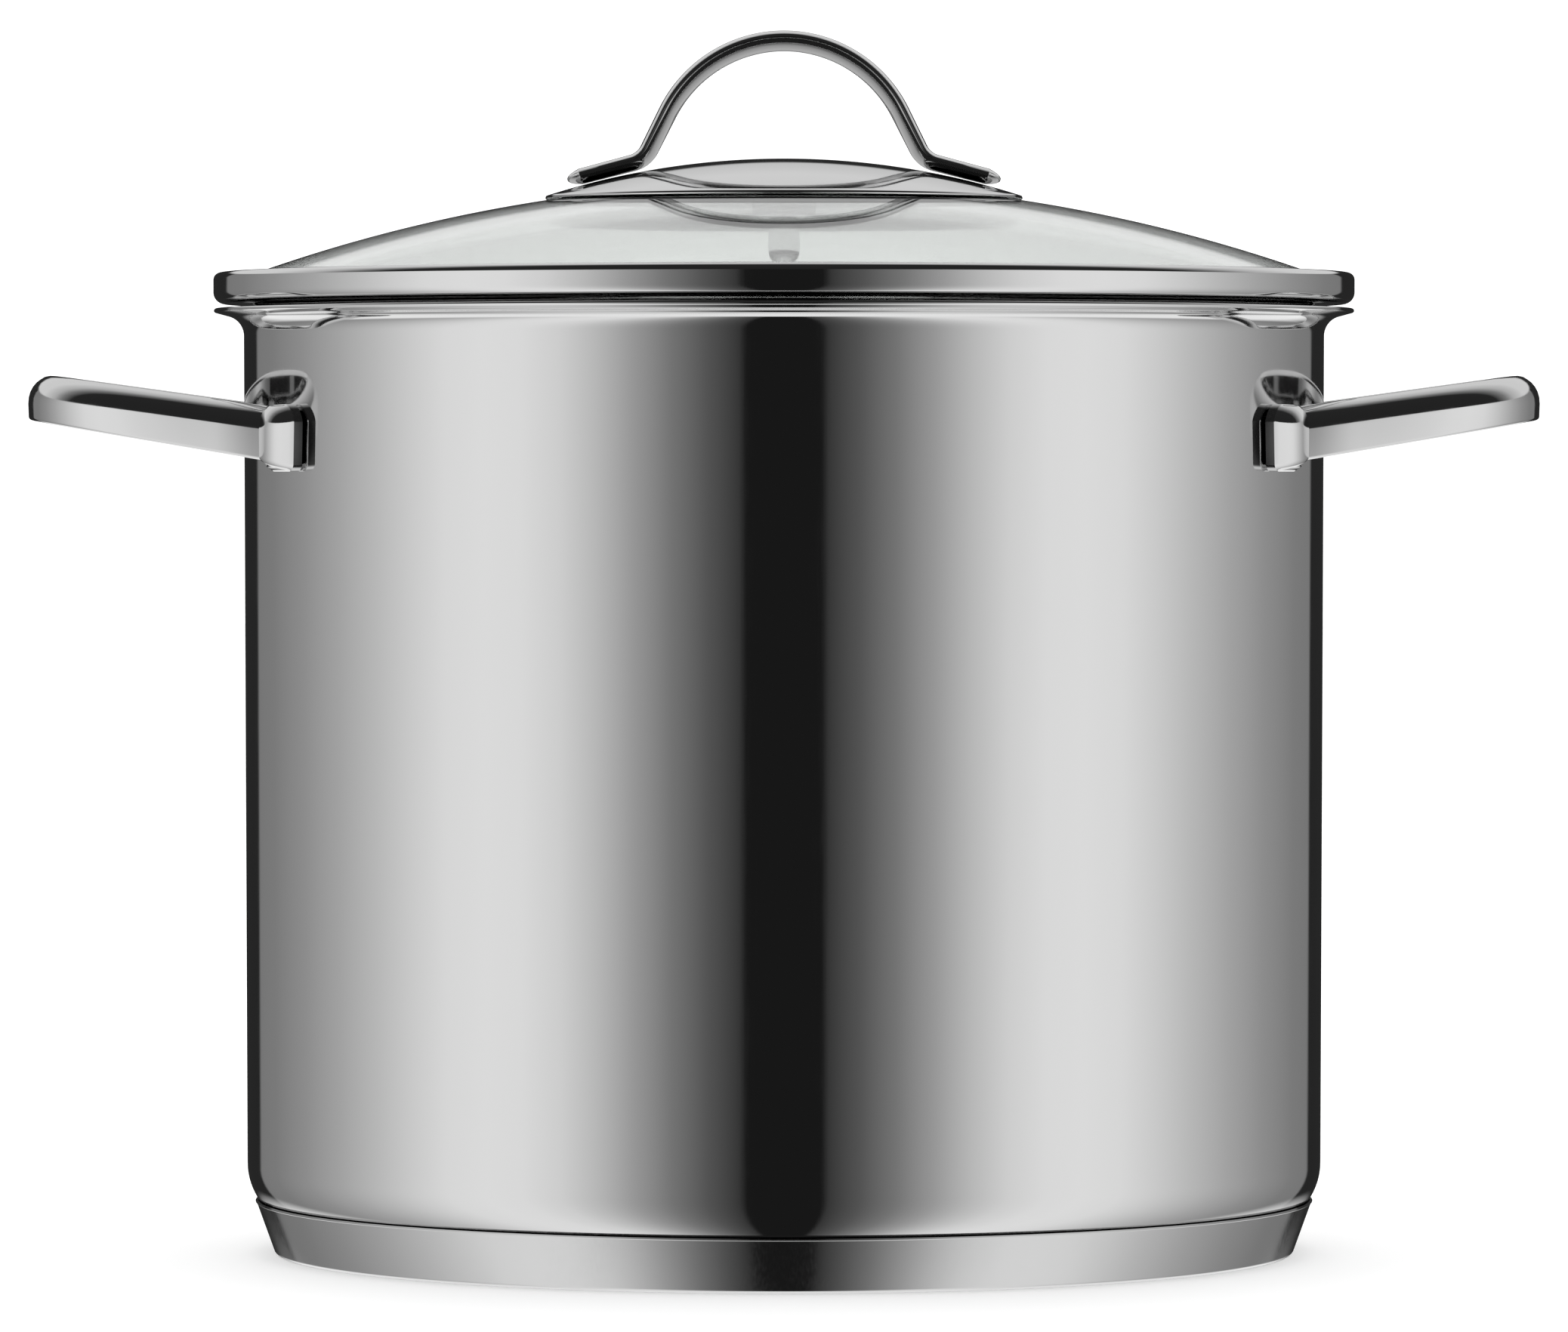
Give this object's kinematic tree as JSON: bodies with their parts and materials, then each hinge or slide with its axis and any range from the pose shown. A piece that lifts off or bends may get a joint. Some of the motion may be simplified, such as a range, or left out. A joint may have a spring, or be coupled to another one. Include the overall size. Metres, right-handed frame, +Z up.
{
  "type": "stock pot with lid",
  "caption": "Tall round steel stock pot with capsule base, two side loop handles and a lift-off domed glass lid with a bow handle.",
  "frame": {"origin": "centre of the flat base, on the surface the pot stands on", "axes": "+Z up along the pot's axis, +X through the two side handles, -Y towards the front"},
  "size_m": [0.338, 0.2552, 0.2735],
  "materials": {
    "polished_steel": "mirror polished stainless steel",
    "satin_steel": "satin stainless steel base cap with turned underside",
    "aluminium_core": "plain rolled, sealed in the base",
    "tempered_glass": "clear, fire polished",
    "silicone": "matt"
  },
  "bodies": {
    "pot": {"pot_shell": "polished_steel", "base_core": "aluminium_core", "base_cap": "satin_steel", "handle_left": "polished_steel", "handle_right": "polished_steel"},
    "lid": {"lid_glass": "tempered_glass", "lid_ring": "polished_steel", "lid_seal": "silicone", "lid_cap_plate": "polished_steel", "plate_gasket": "silicone", "lid_handle": "polished_steel", "lid_stud": "polished_steel", "glass_bush": "silicone", "rubber_washer": "silicone", "steel_washer": "polished_steel", "cap_nut": "polished_steel"}
  },
  "joints": [
    {"name": "lid_lift", "type": "slide", "parent": "pot", "child": "lid", "axis": [0, 0, 1], "range_m": [0, 0.3]}
  ]
}
